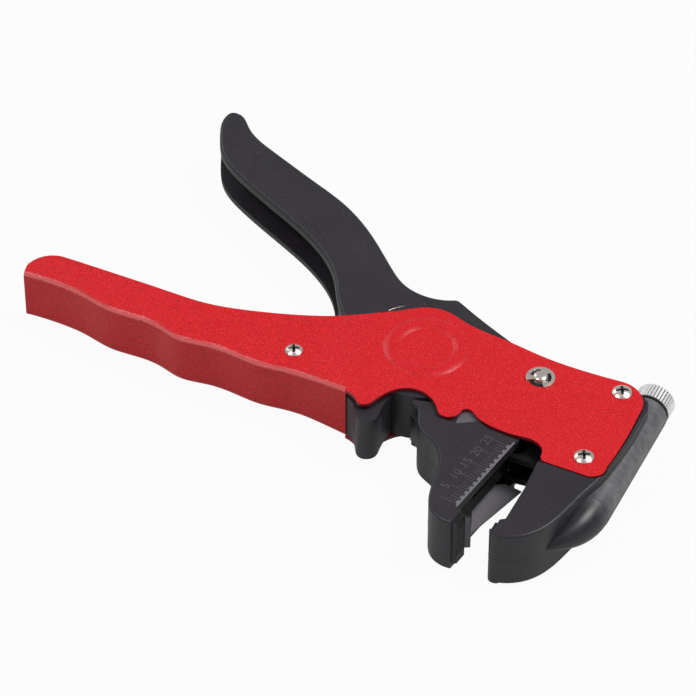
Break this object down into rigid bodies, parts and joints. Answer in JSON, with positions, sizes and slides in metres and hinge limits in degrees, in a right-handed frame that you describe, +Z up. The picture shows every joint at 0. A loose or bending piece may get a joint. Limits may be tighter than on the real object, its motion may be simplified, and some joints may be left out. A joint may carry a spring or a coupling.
{
  "type": "wire stripping pliers",
  "caption": "Lever hand tool that grips a wire in its jaws, cuts the insulation with two blades and draws it off, with a side wire cutter.",
  "frame": {"origin": "middle of the tool's plan outline, on the lowest screw heads, with the tool lying on its side and its jaws open", "axes": "+X from the handles to the jaws, +Y from the fixed handle to the lever, +Z up through the thickness"},
  "size_m": [0.179, 0.14, 0.0205],
  "materials": {
    "red_coat": "satin powder coat with fine sparkle",
    "black_plastic": "fine moulded grain, slight sheen",
    "steel": "pressed and blanked steel",
    "dark_steel": "blackened pressed steel",
    "blade_steel": "ground edge",
    "dark_grip": "blackened steel",
    "nickel": "nickel plate",
    "brass": "turned"
  },
  "bodies": {
    "frame": {"body_shell": "red_coat", "fixed_jaw": "black_plastic", "threaded_bushes": "brass", "fixed_jaw_grip": "dark_grip", "jaw_screws_upper": "nickel", "jaw_screws_lower": "nickel", "anchor_screws": "nickel", "spring_post": "steel", "jaw_pivot_pin": "nickel", "retaining_clip": "nickel", "return_spring": "steel"},
    "lever": {"lever": "black_plastic", "drive_plate": "dark_steel", "spring_pin": "steel", "lever_cutter_blade": "blade_steel"},
    "moving_jaw": {"moving_jaw": "black_plastic", "jaw_side_plates": "steel", "roller_pin": "steel", "jaw_cutter_blade": "blade_steel", "moving_jaw_grip": "dark_grip", "jaw_guide_plate": "steel"},
    "cam_roller": {"cam_roller": "steel"},
    "draw_bar": {"draw_links": "dark_steel", "draw_pin": "steel", "fixed_blade_holder": "dark_steel", "link_rivet": "steel", "fixed_blade": "blade_steel", "fixed_blade_screw": "nickel"},
    "moving_carriage": {"moving_blade_holder": "dark_steel", "stem_pin": "steel", "moving_blade": "blade_steel", "moving_blade_screw": "nickel"},
    "adjuster": {"adjust_knob": "nickel", "adjust_screw": "steel"},
    "tension_nut": {"adjust_nut": "brass"}
  },
  "joints": [
    {"name": "lever_squeeze", "type": "hinge", "parent": "frame", "child": "lever", "pos_m": [0.02322, -0.0088, 0.0101], "axis": [0, 0, 1], "range_deg": [0, 20], "stiffness_Nm_per_rad": 0.5, "springref_deg": -20.05, "deforming": ["return_spring"]},
    {"name": "jaw_close", "type": "hinge", "parent": "frame", "child": "moving_jaw", "pos_m": [0.05522, -0.0112, 0.0101], "axis": [0, 0, 1], "range_deg": [0, 8]},
    {"name": "roller_spin", "type": "hinge", "parent": "moving_jaw", "child": "cam_roller", "pos_m": [0.03922, -0.0239, 0.0101], "axis": [0, 0, 1], "range_deg": [-190, 0]},
    {"name": "blade_draw", "type": "slide", "parent": "frame", "child": "draw_bar", "axis": [0.1219, 0.9925, 0], "range_m": [0, 0.0143]},
    {"name": "carriage_slide", "type": "slide", "parent": "moving_jaw", "child": "moving_carriage", "axis": [0.2588, 0.9659, 0], "range_m": [0, 0.01404]},
    {"name": "knob_turn", "type": "hinge", "parent": "frame", "child": "adjuster", "pos_m": [0.08362, -0.0052, 0.0101], "axis": [0.1219, 0.9925, 0], "range_deg": [0, 1080]},
    {"name": "nut_travel", "type": "slide", "parent": "frame", "child": "tension_nut", "axis": [0.1219, 0.9925, 0], "range_m": [0, 0.0021]}
  ],
  "couplings": [
    {"joint": "jaw_close", "follows": "lever_squeeze", "ratio": 0.4},
    {"joint": "roller_spin", "follows": "lever_squeeze", "ratio": -9.1673},
    {"joint": "blade_draw", "follows": "lever_squeeze", "m_per_rad": 0.040966},
    {"joint": "carriage_slide", "follows": "lever_squeeze", "m_per_rad": 0.04023},
    {"joint": "knob_turn", "follows": "nut_travel", "rad_per_m": 8976}
  ]
}
